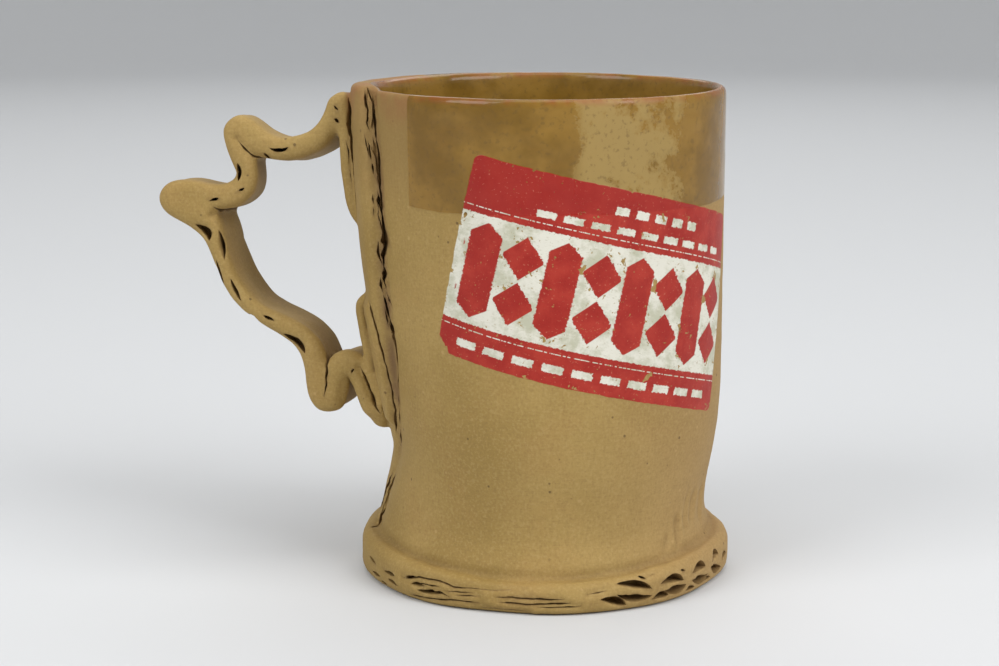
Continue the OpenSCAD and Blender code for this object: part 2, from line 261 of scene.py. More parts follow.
apply(body, "REMESH", mode="VOXEL", voxel_size=VOXEL, adaptivity=0)


# ---------------------------------------------------------------- soft relief
def away(points, path):
    """The distance from points in a plane to a broken line in it."""
    nearest = np.full(len(points), np.inf)
    for a, b in zip(path[:-1], path[1:], strict=True):
        a, b = np.array(a, float), np.array(b, float)
        t = np.clip((points - a) @ (b - a) / ((b - a) @ (b - a)), 0, 1)
        nearest = np.minimum(nearest, np.linalg.norm(points - a - t[:, None] * (b - a), axis=1))
    return nearest


# Soft folds pressed into the clay: on the wall by the foot, points [angle, z], width, depth, and
# on the ribbon's edges, points [x, z], width, depth
PLEATS = [([(330, 10), (331.5, 15), (332.5, 20)], 1, 0.7),
          ([(341, 14), (342.4, 18), (344, 24)], 1.1, 0.6),
          ([(322.5, 9.5), (325, 13), (326, 16)], 1.4, 0.5),
          ([(336, 13), (337, 19), (338.5, 25)], 0.9, 0.35),
          ([(350, 13), (351.5, 18), (352, 24)], 1.3, 0.5)]
SOFT = [([(-44.3, 50.6), (-42.8, 47.9), (-41.6, 44.8), (-40.2, 42.2)], 0.6, 1.1),
        ([(-40.6, 62.6), (-40, 58.6), (-39, 53.7), (-37.6, 50.4)], 0.6, 1.2),
        ([(-42.5, 65.7), (-41.9, 62.3), (-41.2, 56.1), (-40, 50)], 0.7, 0.8),
        ([(-48.8, 46.8), (-49, 44.6), (-49.6, 42)], 0.6, 0.5),
        ([(-37.9, 40.5), (-36.8, 38), (-37.9, 35.8)], 0.6, 0.5),
        ([(-74.2, 106.2), (-72, 103.5), (-69.6, 101.6), (-66.4, 99.9)], 0.9, 0.7),
        ([(-81, 87.2), (-78.1, 87.9), (-73.6, 89.4)], 0.9, 0.9)]

# Long thin cracks along the foot slab's front: points [angle, z], width
FOOT_CRACKS = [
    ([(231, 4.8), (238, 6.2), (246, 6.3), (250.5, 5.4), (264, 5.6), (271, 6.2)], 0.55),
    ([(236, 4.2), (240, 4.8), (246, 5)], 0.5), ([(238, 3.1), (246, 3.6), (249, 2.9)], 0.7),
    ([(247.5, 4.2), (258, 4.5)], 0.35), ([(251, 3.5), (259, 3.8)], 0.5),
    ([(234.5, 1.2), (244, 1.7), (251, 2.2), (259, 2.4)], 0.5),
    ([(263, 4), (269.5, 4.3), (284, 4.1)], (0.6, 0.8, 0.5)),
    ([(264, 2.8), (274, 2.9), (286, 3.2)], 0.65), ([(257, 1.2), (274, 1.1)], 0.4),
    ([(276, 2.2), (289, 2.3)], 0.35), ([(291, 5), (297, 5.5)], 0.35),
    ([(311, 7.4), (315, 8)], 0.4), ([(329, 8.3), (333, 8.8)], 0.4)]
# Where the ribbon's lower end laps over the slab: [angle, z]
FLAP = [(207, 36), (208.5, 38), (211, 42), (211.9, 47.3), (211.8, 52), (211.3, 57), (210.3, 61.4),
        (208.6, 65), (206, 68)]

# Hand-worked clay is never quite even
co = coords(body.data)
n = normals(body.data)
handle = off_the_wall(co)
r, a = polar(co)
z = co[:, 2]
outer = r > plain_r(a, z) - thickness(z) / 2
for path, width, depth in PLEATS:
    middle = np.interp(z, [q for p, q in path], [p for p, q in path])
    ends = smooth((z - path[0][1]) / 3) * smooth((path[-1][1] - z) / 3)
    across = off(a, middle) * np.radians(1) * r
    fold = bell(across, width) - 0.5 * bell(across - 1.8 * width, width)
    co -= n * (outer * ends * depth * fold)[:, None]
for path, width, depth in SOFT:
    near = (co[:, 1] < -9) * smooth((-9.2 - co[:, 1]) / 1.2)
    co[:, 1] += near * depth * bell(away(co[:, [0, 2]], path), width)
    far = (co[:, 1] > 9) * smooth((co[:, 1] - 9.2) / 1.2)
    co[:, 1] -= far * depth * bell(away(co[:, [0, 2]] + [0, FAR_DROP], path), width)

# The ribbon's lower end swells over the slab, a valley with ragged sides runs along the slab's
# edge, and the foot's front is pressed in along its cracks
past = past_edge(a, z, r)
border = np.interp(z, [q for p, q in FLAP], [p for p, q in FLAP])
inside = (border - a) * np.radians(1) * r
swell = 1.1 * smooth(inside / 1.6) * smooth((a - 186) / 8) * (a > 180)
swell *= smooth((z - 37) / 3) * smooth((69 - z) / 3)
valley = bell(past - 0.6, 1.3) * (0.35 + 0.55 * smooth((z - 60) / 30)) * smooth((z - 26) / 6)
ragged = 0.35 * noise(co, 1.7, 8) + 0.3 * noise(co, 3.2, 9)
ragged *= bell(past - 1.6, 1.6) * smooth((z - 62) / 20)
below_rim = smooth((RIM_Z + 0.5 - z) / 1.5)
co += n * (outer * (swell - valley + ragged) * below_rim)[:, None]
strip = np.stack([a * FOOT_DEGREE, z], 1)
for path, width in FOOT_CRACKS:
    near = away(strip, [(p * FOOT_DEGREE, q) for p, q in path])
    co -= n * ((r > 44) * (0.3 * bell(near, 0.7) - 0.12 * bell(near - 1.3, 0.6)))[:, None]

# A groove where the wall stands on the foot, and a wavy top to the foot
ledge = np.hypot(r - plain_r(a, z) - 0.3, z - foot_top(a) - 0.2)
groove = outer * (0.55 + 0.3 * noise(co, 7, 5)) * bell(ledge, 1.1)
wave = (r > plain_r(a, z) + 0.5) * smooth((z - foot_top(a) + 4) / 3) * (z < foot_top(a) + 1.5)
co -= n * (groove + 0.35 * wave * noise(co, 8, 6))[:, None]
set_coords(body.data, co)
n = normals(body.data)
lumps = (0.1 + 0.14 * handle) * noise(co, 9, 1) + (0.05 + 0.05 * handle) * noise(co, 3.4, 2)
lumps += 0.02 * noise(co, 1.3, 3)
lumps *= smooth((co[:, 2] - 0.3) / 2)
co += n * lumps[:, None]
co = relax(co, edges_of(body.data), np.full(len(co), 3.0))
co[:, 2] = np.maximum(co[:, 2], 0)
set_coords(body.data, co)


# ---------------------------------------------------------------- cracks, slots and creases
def ruled(rings):
    """A closed tube through rings of the same number of points."""
    count = len(rings[0])
    points = [p for ring in rings for p in ring]
    faces = []
    for j in range(len(rings) - 1):
        for i in range(count):
            k = (i + 1) % count
            faces.append((j * count + i, j * count + k, (j + 1) * count + k, (j + 1) * count + i))
    faces.append(tuple(range(count))[::-1])
    faces.append(tuple((len(rings) - 1) * count + i for i in range(count)))
    return points, faces


def solid(points, faces):
    """A closed cutter with its faces turned outward."""
    bm = bmesh.new()
    verts = [bm.verts.new(p) for p in points]
    for face in faces:
        bm.faces.new([verts[i] for i in face])
    bmesh.ops.triangulate(bm, faces=bm.faces)
    bmesh.ops.recalc_face_normals(bm, faces=bm.faces)
    mesh = bpy.data.meshes.new("cutter")
    bm.to_mesh(mesh)
    bm.free()
    return new_object("cutter", mesh)


def remove(obj):
    mesh = obj.data
    bpy.data.objects.remove(obj)
    bpy.data.meshes.remove(mesh)


def join(shapes):
    """One tool made of several shapes, without the walls between them."""
    tool = solid(*shapes[0])
    for shape in shapes[1:]:
        other = solid(*shape)
        apply(tool, "BOOLEAN", operation="UNION", solver="MANIFOLD", object=other)
        remove(other)
    return tool


def carve(shapes, operation, material):
    """Cuts shapes off the body or adds them to it; the new faces get the material."""
    tool = join(shapes)
    tool.data.materials.clear()
    tool.data.materials.append(material)
    apply(body, "BOOLEAN", operation=operation, solver="MANIFOLD", object=tool,
          material_mode="TRANSFER")
    remove(tool)


def line(points, step):
    """The points of a broken line, a step apart, with the share of its length at each."""
    points = np.array(points, float)
    lengths = np.r_[0, np.cumsum(np.linalg.norm(np.diff(points, axis=0), axis=1))]
    t = np.linspace(0, lengths[-1], max(3, int(lengths[-1] / step) + 1))
    return np.stack([np.interp(t, lengths, points[:, k]) for k in range(points.shape[1])], 1)


def gash(points, outward, width, depth, seed, step=0.5, rough=0.35):
    """A jagged V-shaped cut along points on a surface, whose outward directions are given."""
    points, outward = np.asarray(points, float), np.asarray(outward, float)
    along = np.gradient(points, axis=0)
    side = np.cross(outward, along)
    side /= np.linalg.norm(side, axis=1)[:, None]
    share = np.linspace(0, 1, len(points))
    taper = np.clip(np.minimum(share, 1 - share) * len(points) * step / 2.5, 0.06, 1)
    width = np.interp(share, np.linspace(0, 1, np.size(width)), np.atleast_1d(width)) * taper
    left = width * (0.5 + rough * noise(points + 31.7, 1.1, seed))
    right = width * (0.5 + rough * noise(points + 77.1, 1.4, seed + 1))
    deep = np.broadcast_to(depth, share.shape) * (0.45 + 0.55 * taper)
    sway = 0.25 * width * noise(points, 2.3, seed + 2)
    rings = []
    for p, o, s, lo, hi, d, w in zip(points, outward, side, left, right, deep, sway, strict=True):
        rings.append([p + o * 2.5 - s * (lo * 1.5 - w), p + o * 2.5 + s * (hi * 1.5 + w),
                      p - o * d * 0.5 + s * (hi * 0.75 + w), p - o * d + s * w,
                      p - o * d * 0.5 - s * (lo * 0.75 - w)])
    return ruled(rings)


def lens(length, up, down, skew, seed):
    """The outline of a flute's open end: pointed at both ends, bulging up and down."""
    t = np.linspace(-1, 1, 13)
    bulge = (1 - t * t) ** 0.8 * (1 + skew * t)
    top, low = up * bulge, -down * bulge
    u = np.r_[t, t[-2:0:-1]] * length / 2
    v = np.r_[top, low[-2:0:-1]]
    wave = noise(np.stack([u * 2, v * 2, np.full(len(u), seed * 9.7)], 1), 1.6, seed)
    return np.stack([u, v + 0.12 * wave * (1 - (2 * u / length) ** 2)], 1)


def slot(point, outward, along, up_dir, shape, depth, seed, slant=(0, 0, 0)):
    """A lens-shaped slot: shape is (length, up, down, tilt, skew)."""
    length, up, down, tilt, skew = shape
    outline = lens(length, up, down, skew, seed)
    c, s = math.cos(math.radians(tilt)), math.sin(math.radians(tilt))
    rings = []
    for level, size in ((2.2, 1.12), (0, 1), (-depth * 0.6, 0.9), (-depth, 0.5)):
        ring = []
        for u, v in outline * size:
            ring.append(np.array(point) + (np.array(outward) - np.array(slant)) * level
                        + np.array(along) * (u * c - v * s) + np.array(up_dir) * (u * s + v * c))
        rings.append(ring)
    return ruled(rings)


def lean(x, z):
    """How far the ribbon's far edge stands from its near edge."""
    out = -FAR_OUT * smooth((z - 88) / 6) * smooth((-64 - x) / 6)
    return float(out), -float(FAR_DROP)


# The slab's edge has torn open where it meets the wall.  Each gash is points [place, height],
# width, depth, where place runs from 0 at the edge's root to 1 at its top, or is the degrees
# past the root, counted down from 0, for a tear that runs on into the wall.
TORN = [
    ([(0.16, 118.6), (0.12, 114), (0.16, 109), (0.08, 104), (0.1, 98), (0.16, 92), (0.12, 84)],
     (0.4, 0.7, 0.4, 0.8, 0.6, 1, 0.9), 2.2),
    ([(0.42, 121), (0.34, 117.5), (0.3, 113.5), (0.32, 109.6)], (0.7, 1.9, 1.9, 0.9), 1.6),
    ([(0.34, 109), (0.3, 105.5), (0.2, 101.5), (0.1, 97.4)], (0.9, 2.1, 1.9, 0.8), 1.6),
    ([(0.5, 120.6), (0.24, 116.5), (0.16, 113), (0.2, 109.5)], 0.5, 2.8),
    ([(0.56, 119.4), (0.56, 115.6), (0.5, 113.4), (0.6, 111.6), (0.5, 109.8)], 0.7, 2.8),
    ([(0.74, 109), (0.67, 106), (0.6, 103)], 0.4, 2),
    ([(0.62, 107.4), (0.5, 104), (0.42, 102), (0.36, 99.8), (0.27, 97.6)], 0.9, 3.2),
    ([(0.3, 96.2), (0.28, 93), (0.22, 90.5), (0.16, 87.7), (0.15, 84.3), (0.15, 81), (0.2, 77.4)],
     (0.6, 1.1, 1.3, 1.1), 3.4),
    ([(0.58, 95), (0.56, 92.6)], 0.8, 2), ([(0.58, 92), (0.6, 89.8)], 0.6, 2),
    ([(0.46, 84), (0.5, 81.4), (0.4, 79.6), (0.25, 78)], 0.8, 2.2),
    ([(0.2, 78.4), (0.2, 75.6), (0.3, 73.5), (0.3, 70)], 1.1, 3.2),
    ([(0.42, 75), (0.45, 73), (0.36, 71)], 1, 2.6),
    ([(0.16, 71.4), (0, 69.6), (-1.8, 68)], 0.5, 1.6),
    ([(0.36, 71.6), (0.27, 67.5), (0.2, 64.8), (0.05, 62), (-1, 59.3), (-1.5, 56.6), (-1.5, 53)],
     0.7, 2.4),
    ([(0.4, 68), (0.34, 65.5), (0.3, 63)], 0.5, 2),
    ([(-1.5, 52), (-0.5, 49.6), (0, 47.5)], 0.4, 1.5), ([(0, 46.4), (0.1, 43.2)], 0.4, 1.5),
    ([(0.05, 42.6), (0.1, 38.4)], 0.4, 1.5), ([(0.1, 37), (0.2, 32.6)], 0.55, 1.6),
    ([(-2.6, 24.4), (-0.5, 20.3), (0.2, 16.8), (0.3, 13.7), (0.3, 11), (-0.4, 9)], 1.1, 2.2),
    ([(0.45, 24), (0.8, 19.6), (0.9, 15.8), (0.95, 12.6)], 0.7, 1.5)]


def on_edge(path, step=0.4):
    """Points along a gash in the slab's edge, and the directions that face out of it."""
    path = line(path, step)
    place, z = path[:, 0], path[:, 1]
    up = np.clip(place, 0, 1)
    a = seam_a(z) - np.where(place > 0, PROUD["edge"] * (1 - np.sqrt(1 - up ** 2)), place)
    r = wall_r(a, z)
    ca, sa = circle(a)
    sideways = np.clip(0.6 + 2 * place, 0.3, 0.9)
    out_of = np.stack([0.45 * ca - sideways * sa, 0.45 * sa + sideways * ca, 0 * a], 1)
    return np.stack([r * ca, r * sa, z], 1), out_of / np.linalg.norm(out_of, axis=1)[:, None]


cuts = [gash(*on_edge(path), width, depth, 20 + 3 * i, step=0.4)
        for i, (path, width, depth) in enumerate(TORN)]

# The crack beside the ribbon's lower end
path = line(FLAP, 0.5)
ca, sa = circle(path[:, 0])
r = wall_r(*path.T)
cuts.append(gash(np.stack([r * ca, r * sa, path[:, 1]], 1),
                 np.stack([0.6 * ca - 0.8 * sa, 0.6 * sa + 0.8 * ca, 0 * r], 1),
                 (0.8, 0.5, 0.4, 0.6, 0.7), 2.2, 90))

# Slots in the ribbon's edges: [x, z, length, bulge up, bulge down, tilt, skew]
SLOT_DEPTH = 4.6
FLUTES = [
    (-63.5, 104.2, 4.8, -0.2, 1.2, 3, 0), (-66.7, 102.1, 2, 0.3, 0.4, -41, 0),
    (-74, 98, 4.4, 0.9, 0.3, -89, 0), (-73.1, 93.8, 1.6, 0.3, 0.3, 26, 0),
    (-80.2, 91.2, 2.6, 0.3, 0.4, 16, 0.5), (-83.4, 82.9, 5.4, 2, 0, -50, 0.5),
    (-78.6, 80, 7.6, 0.6, 0.5, -80, 0), (-79.2, 73, 6.8, 0.4, 0.4, -75, 0),
    (-75.1, 68.9, 6.2, 0.2, 0.7, -64, 0), (-71.1, 62, 3.4, 0.5, 0.4, -36, 0),
    (-66.9, 62.1, 3, 0.4, 0.4, -24, 0), (-60.6, 55.9, 7.2, 1.7, 0.1, -40, 0.3),
    (-49.2, 114, 1.4, 0.25, 0.25, -51, 0), (-49.2, 110.9, 1.4, 0.5, 0.3, -44, 0),
    (-45.7, 49.6, 1.2, 0.3, 0.2, 60, 0)]
for i, (x, z, length, up, down, tilt, skew) in enumerate(FLUTES):
    out, drop = lean(x, z)
    slant = (out / RIBBON_W, 0, drop / RIBBON_W)
    cuts.append(slot((x, -RIBBON_W / 2, z), (0, -1, 0), (1, 0, 0), (0, 0, 1),
                     (length, up, down, tilt, skew), SLOT_DEPTH, 100 + i, slant))
    if length > 3:
        slant = (-out / RIBBON_W, 0, -drop / RIBBON_W)
        cuts.append(slot((x + out, RIBBON_W / 2, z + drop), (0, 1, 0), (1, 0, 0), (0, 0, 1),
                         (length, up, down, tilt, skew), SLOT_DEPTH, 130 + i, slant))

# Creases where stretches of the ribbon press together, and cracks between the ribbon's ends and
# the wall: points [x, z], widths along them, depth
CREASES = [
    ([(-74, 105.9), (-72, 103.5), (-70.3, 102), (-67.8, 101), (-66.2, 99.6)], (0.3, 0.5, 0.9), 3),
    ([(-80.8, 87.3), (-78.1, 87.9), (-75.6, 88.3), (-73.6, 89.4)], (0.3, 0.5, 0.8), 3),
    ([(-52.5, 52.2), (-52.3, 49), (-52.4, 46), (-53, 43.2)], (0.7, 0.45, 0.4), 3),
    ([(-44, 50.8), (-42.6, 47.8), (-41.2, 44.2), (-40, 40.8), (-38.8, 39.2)],
     (0.3, 0.5, 0.6, 0.4), 2),
    ([(-42.6, 67), (-41, 65), (-40.6, 62.6)], 0.45, 1.6),
    ([(-46.2, 116.4), (-46, 112), (-45.9, 108), (-45.4, 104), (-44.9, 100), (-44.4, 95),
      (-43.9, 90)], (1, 1.1, 0.7, 0.6, 0.5), 2.6),
    ([(-47, 106), (-46.4, 103.6), (-46.2, 101)], 0.35, 1.2), ([(-46, 99), (-45.6, 96)], 0.35, 1.2)]
# Folds that stay open right across the ribbon: [x, z], the way out of them [x, z], width, depth
FOLDS = [((-79.2, 88.2), (0.7, -0.7), 0.9, 2.6), ((-67.6, 100.9), (0.7, -0.7), 0.8, 2.2),
         ((-52.3, 52), (0, 1), 0.9, 2.6)]
for i, ((x, z), (out_x, out_z), width, depth) in enumerate(FOLDS):
    move = lean(x, z)
    half = RIBBON_W / 2 + 1
    points = line([(x, -half, z), (x + move[0], half, z + move[1])], 0.6)
    outward = np.tile([out_x, 0, out_z], (len(points), 1))
    cuts.append(gash(points, outward, width, depth, 300 + 7 * i))
for i, (path, width, depth) in enumerate(CREASES):
    for side, drop in ((-1, 0), (1, FAR_DROP)):
        points = line([(x, side * RIBBON_W / 2, z - drop) for x, z in path], 0.5)
        outward = np.tile([0, side, 0], (len(points), 1))
        cuts.append(gash(points, outward, width, depth, 160 + 7 * i))

# Slots in the foot slab's edge where it shows its flutes, in the same way, by [angle, z]
FOOT_SLOTS = [
    (212, 5.4, 4.2, 0.4, 0.4, -13, 0), (215, 2.6, 4.6, 0.4, 0.4, 0, 0),
    (220, 1.4, 2.8, 0.3, 0.4, -4, 0), (224, 4.6, 5, 0.5, 0.4, 0, 0.3),
    (226, 2.8, 4.2, 0.4, 0.4, -9, 0), (235, 5.8, 4.1, 0.3, 0.3, 8, 0),
    (238, 4.4, 4.3, 0.4, 0.4, 2, -0.5), (242.5, 3.3, 7.6, 0.3, 0.6, 3, -0.3),
    (299, 2.6, 6, 0.9, 0.3, -17, 0.3), (306, 5.7, 8, 0.9, 0.2, -13, 0.3),
    (306, 3.7, 8, 0.05, 1, -8, 0), (309, 7.4, 1.8, 0.3, 0.3, -22, 0),
    (315, 2.1, 4.4, 0.8, 0.2, 2, 0.5), (320, 5, 6.8, 1.2, 0.1, -5, 0.3),
    (321.5, 3.5, 6.4, 0.1, 1.1, 0, 0.2), (325, 7, 1.5, 0.3, 0.3, -17, 0),
    (329, 1.8, 3.8, 0.6, 0.4, -1, 0), (334, 5.5, 5.6, 1.2, 0.2, 1, 0.3),
    (335, 3.5, 7.4, 0.1, 1.1, -4, 0.2), (340.5, 1.9, 3, 0.5, 0.4, 6, 0),
    (346.5, 6, 3.6, 1.2, 0.2, 14, 0.4), (347, 3.6, 6, 0.3, 1, -14, 0),
    (355, 4.6, 3.2, 0.8, 0.4, 12, 0)]
for a in range(15, 196, 20):   # an even row round the back
    for side in (-1, 1):
        FOOT_SLOTS.append((a, 4 + side, 6 + math.sin(math.radians(7 * a)),
                           1 if side > 0 else 0.1, 0.1 if side > 0 else 1,
                           4 * math.sin(math.radians(5 * a)), 0))


def foot_slot(a, z, shape, seed):
    c, s = circle(a)
    wave = np.sin(np.radians(5 * a + 20)) + 0.7 * np.sin(np.radians(9 * a + 80))
    edge = FOOT_R + 0.35 * wave
    return slot((edge * c, edge * s, z), (c, s, 0), (-s, c, 0), (0, 0, 1), shape, SLOT_DEPTH, seed)


for i, (a, z, length, up, down, tilt, skew) in enumerate(FOOT_SLOTS):
    taller, longer = (1.65, 1.2) if max(up, down) > 0.7 else (1, 1.05)
    cuts.append(foot_slot(a, z, (length * longer, up * taller, down * taller, tilt, skew), 200 + i))

for i, (path, width) in enumerate(FOOT_CRACKS):
    path = line([(a * FOOT_DEGREE, z) for a, z in path], 0.5)
    ca, sa = circle(path[:, 0] / FOOT_DEGREE)
    r = FOOT_R - 0.1
    cuts.append(gash(np.stack([r * ca, r * sa, path[:, 1]], 1), np.stack([ca, sa, 0 * ca], 1),
                     np.multiply(width, 0.8), 1.2, 260 + 5 * i))
carve(cuts, "DIFFERENCE", torn)

# Torn layers left standing inside the crack: points [place, height], thickness
LAYERS = [([(0.4, 118.6), (0.34, 116), (0.36, 113), (0.4, 110.6)], 0.3),
          ([(0.52, 106.2), (0.4, 103), (0.3, 100.4)], 0.3),
          ([(0.42, 102), (0.34, 99), (0.24, 97.4)], 0.25),
          ([(0.3, 92.6), (0.26, 90), (0.2, 87.6)], 0.25),
          ([(0.32, 74.6), (0.26, 72.2), (0.34, 70)], 0.35),
          ([(0.3, 66.5), (0.16, 63.5)], 0.3), ([(-0.2, 21), (0.3, 17), (0.4, 13)], 0.3)]
sheets = []
for i, (path, width) in enumerate(LAYERS):
    points, outward = on_edge(path)
    sheets.append(gash(points - outward * 3, outward, width * 2, 1.6, 400 + 5 * i, step=0.4,
                       rough=0.2))
carve(sheets, "UNION", skin)

bm = bmesh.new()
bm.from_mesh(body.data)
bmesh.ops.triangulate(bm, faces=bm.faces)
bm.to_mesh(body.data)
bm.free()
apply(body, "DECIMATE", ratio=min(1, TRIANGLES / len(body.data.polygons)))


def one_skin(mesh):
    """Takes off folded-over pairs of faces, then every shell but the largest."""
    places = np.unique(np.round(coords(mesh), 4), axis=0, return_inverse=True)[1].ravel()
    corners = np.empty(len(mesh.polygons) * 3, np.int32)
    mesh.polygons.foreach_get("vertices", corners)
    keys = np.sort(places[corners].reshape(-1, 3), axis=1)
    same, uses = np.unique(keys, axis=0, return_inverse=True, return_counts=True)[1:]
    folded = (uses[same.ravel()] > 1) | (keys[:, 0] == keys[:, 1]) | (keys[:, 1] == keys[:, 2])
    bm = bmesh.new()
    bm.from_mesh(mesh)
    bm.faces.ensure_lookup_table()
    bmesh.ops.delete(bm, geom=[bm.faces[i] for i in np.flatnonzero(folded)], context="FACES")
    bmesh.ops.remove_doubles(bm, verts=bm.verts, dist=0.0002)
    left, shells = set(bm.verts), []
    while left:
        stack = [left.pop()]
        shell = list(stack)
        while stack:
            for edge in stack.pop().link_edges:
                for vert in edge.verts:
                    if vert in left:
                        left.remove(vert)
                        stack.append(vert)
                        shell.append(vert)
        shells.append(shell)
    shells.sort(key=len)
    for shell in shells[:-1]:
        bmesh.ops.delete(bm, geom=shell, context="VERTS")
    bm.to_mesh(mesh)
    bm.free()


one_skin(body.data)

# ---------------------------------------------------------------- masks on the points
# The printed label: a turned rectangle laid on the wall from its top left corner
LABEL_A, LABEL_Z, LABEL_TILT = 256.7, 107, 13.4
LABEL_W, LABEL_H = 79.5, 47.2


def attribute(mesh, name, value):
    layer = mesh.attributes.new(name, "FLOAT", "POINT")
    layer.data.foreach_set("value", np.asarray(value, np.float32))


co = coords(body.data)
r, a = polar(co)
z = co[:, 2]
edges = edges_of(body.data)
n = normals(body.data)
count = len(co)
from_v, to_v = edges.T
gap = co[from_v] - co[to_v]
bend = ((n[from_v] - n[to_v]) * gap).sum(1) / np.maximum(np.linalg.norm(gap, axis=1), 0.05) ** 2
met = np.bincount(from_v, minlength=count) + np.bincount(to_v, minlength=count)
curve = (np.bincount(from_v, bend, count) + np.bincount(to_v, bend, count)) / np.maximum(met, 1)
curve = spread(np.clip(curve, -3, 3), edges, 2)
# hollow: how concave the surface is; the material paints shade into these hollows
attribute(body.data, "hollow", np.clip(-curve * 0.9, 0, 1))
attribute(body.data, "crest", np.clip(curve * 0.9 - 0.15, 0, 1))
front = off(a, FRONT_A)
arc = (front - off(LABEL_A, FRONT_A)) * math.radians(1) * BODY_R
drop = z - LABEL_Z
cs, sn = circle(LABEL_TILT)
u = arc * cs - drop * sn
v = arc * sn + drop * cs + LABEL_H
on_front = (np.abs(front) < 120) & (r > plain_r(a, z) - 1)
attribute(body.data, "label_u", np.where(on_front, u, -60))
attribute(body.data, "label_v", np.where(on_front, v, -60))
attribute(body.data, "outside", np.clip((r - (plain_r(a, z) - LIP_T / 2)) / 1.2, -1, 1))
attribute(body.data, "handle", off_the_wall(co))
attribute(body.data, "turned", (front + 95) % 360 - 95)   # breaks behind the handle
# seam: a band along the root of the slab's proud edge, where the material paints shade into the
# groove
seam = bell(past_edge(a, z, r) - 0.4, 1.1) * smooth((z - 20) / 30)
attribute(body.data, "seam", seam * (r > plain_r(a, z) - 1))

# The share of each point's faces that the cutters made
faces = body.data.polygons
made = np.empty(len(faces), np.int32)
faces.foreach_get("material_index", made)
corners = np.empty(len(faces) * 3, np.int32)
faces.foreach_get("vertices", corners)
around = np.maximum(np.bincount(corners, minlength=count), 1)
attribute(body.data, "torn", np.bincount(corners, np.repeat(made, 3), count) / around)
set_coords(body.data, co * MM)
for polygon in body.data.polygons:
    polygon.use_smooth = True
body.data.set_sharp_from_angle(angle=math.radians(65))


# ---------------------------------------------------------------- materials
class Graph:
    """Small helpers to write a node tree as sums."""

    def __init__(self, name):
        self.material = bpy.data.materials.new(name)
        self.material.use_nodes = True
        self.tree = self.material.node_tree
        self.tree.nodes.clear()
        self.shader = self.node("ShaderNodeBsdfPrincipled")
        output = self.node("ShaderNodeOutputMaterial")
        self.tree.links.new(self.shader.outputs[0], output.inputs["Surface"])

    def node(self, kind, **settings):
        node = self.tree.nodes.new(kind)
        for key, value in settings.items():
            setattr(node, key, value)
        return node

    def put(self, socket, value):
        if isinstance(value, bpy.types.NodeSocket):
            self.tree.links.new(value, socket)
        else:
            socket.default_value = value

    def math(self, operation, *values, clamp=False):
        node = self.node("ShaderNodeMath", operation=operation, use_clamp=clamp)
        for socket, value in zip(node.inputs, values):
            self.put(socket, value)
        return node.outputs[0]

    def add(self, *values):
        total = values[0]
        for value in values[1:]:
            total = self.math("ADD", total, value)
        return total

    def mul(self, *values):
        total = values[0]
        for value in values[1:]:
            total = self.math("MULTIPLY", total, value)
        return total

    def sub(self, a, b):
        return self.math("SUBTRACT", a, b)

    def inv(self, a):
        return self.math("SUBTRACT", 1.0, a, clamp=True)

    def ramp(self, value, low, high):
        node = self.node("ShaderNodeMapRange", interpolation_type="SMOOTHSTEP")
        self.put(node.inputs["Value"], value)
        node.inputs["From Min"].default_value = low
        node.inputs["From Max"].default_value = high
        return node.outputs[0]

    def value(self, name):
        return self.node("ShaderNodeAttribute", attribute_name=name).outputs["Fac"]

    def mix(self, factor, a, b):
        node = self.node("ShaderNodeMix", data_type="RGBA")
        self.put(node.inputs[0], factor)
        self.put(node.inputs[6], a)
        self.put(node.inputs[7], b)
        return node.outputs[2]

    def noise(self, vector, scale, detail=2.0, rough=0.5, distortion=0.0):
        node = self.node("ShaderNodeTexNoise")
        self.put(node.inputs["Vector"], vector)
        node.inputs["Scale"].default_value = scale
        node.inputs["Detail"].default_value = detail
        node.inputs["Roughness"].default_value = rough
        node.inputs["Distortion"].default_value = distortion
        return node.outputs["Fac"]

    def cells(self, vector, scale, output="Distance"):
        node = self.node("ShaderNodeTexVoronoi")
        self.put(node.inputs["Vector"], vector)
        node.inputs["Scale"].default_value = scale
        return node.outputs[output]

    def vector(self, x, y, z):
        node = self.node("ShaderNodeCombineXYZ")
        for socket, value in zip(node.inputs, (x, y, z)):
            self.put(socket, value)
        return node.outputs[0]

    def stretch(self, vector, scale):
        node = self.node("ShaderNodeMapping")
        self.put(node.inputs["Vector"], vector)
        node.inputs["Scale"].default_value = scale
        return node.outputs[0]


def rgb(r, g, b):
    """A colour given in 0 to 255 as a screen shows it."""
    linear = [c / 255 / 12.92 if c / 255 <= 0.04045 else ((c / 255 + 0.055) / 1.055) ** 2.4
              for c in (r, g, b)]
    return (*linear, 1.0)


g = Graph("stoneware")
where = g.node("ShaderNodeTexCoord").outputs["Object"]
apart = g.node("ShaderNodeSeparateXYZ")
g.put(apart.inputs[0], where)
height = g.mul(apart.outputs["Z"], 1000.0)
outside, handle = g.value("outside"), g.value("handle")
hollow, crest, turned = g.value("hollow"), g.value("crest"), g.value("turned")
out_side = g.ramp(outside, -0.15, 0.3)

# Bare clay: warm tan, with cloudy lighter and pinker parts, fine grains and dark specks
cloud = g.noise(where, 28, 3, 0.55)
cloud_2 = g.noise(where, 75, 3, 0.6)
clay = g.mix(g.ramp(cloud, 0.35, 0.68), rgb(150, 123, 66), rgb(166, 138, 80))
clay = g.mix(g.mul(g.ramp(cloud_2, 0.45, 0.72), 0.4), clay, rgb(162, 129, 74))
pinker = g.mul(g.ramp(turned, 5, 80), g.ramp(turned, 190, 110), g.inv(handle))
clay = g.mix(g.mul(pinker, 0.6), clay, rgb(167, 134, 90))
weave = g.add(g.noise(g.stretch(where, (1, 1, 14)), 210, 2, 0.6),
              g.noise(g.stretch(where, (9, 9, 1)), 260, 2, 0.6))
clay = g.mix(g.mul(g.ramp(weave, 0.95, 1.25), 0.3), clay, rgb(140, 112, 64))
grain = g.noise(where, 1500, 2, 0.6)
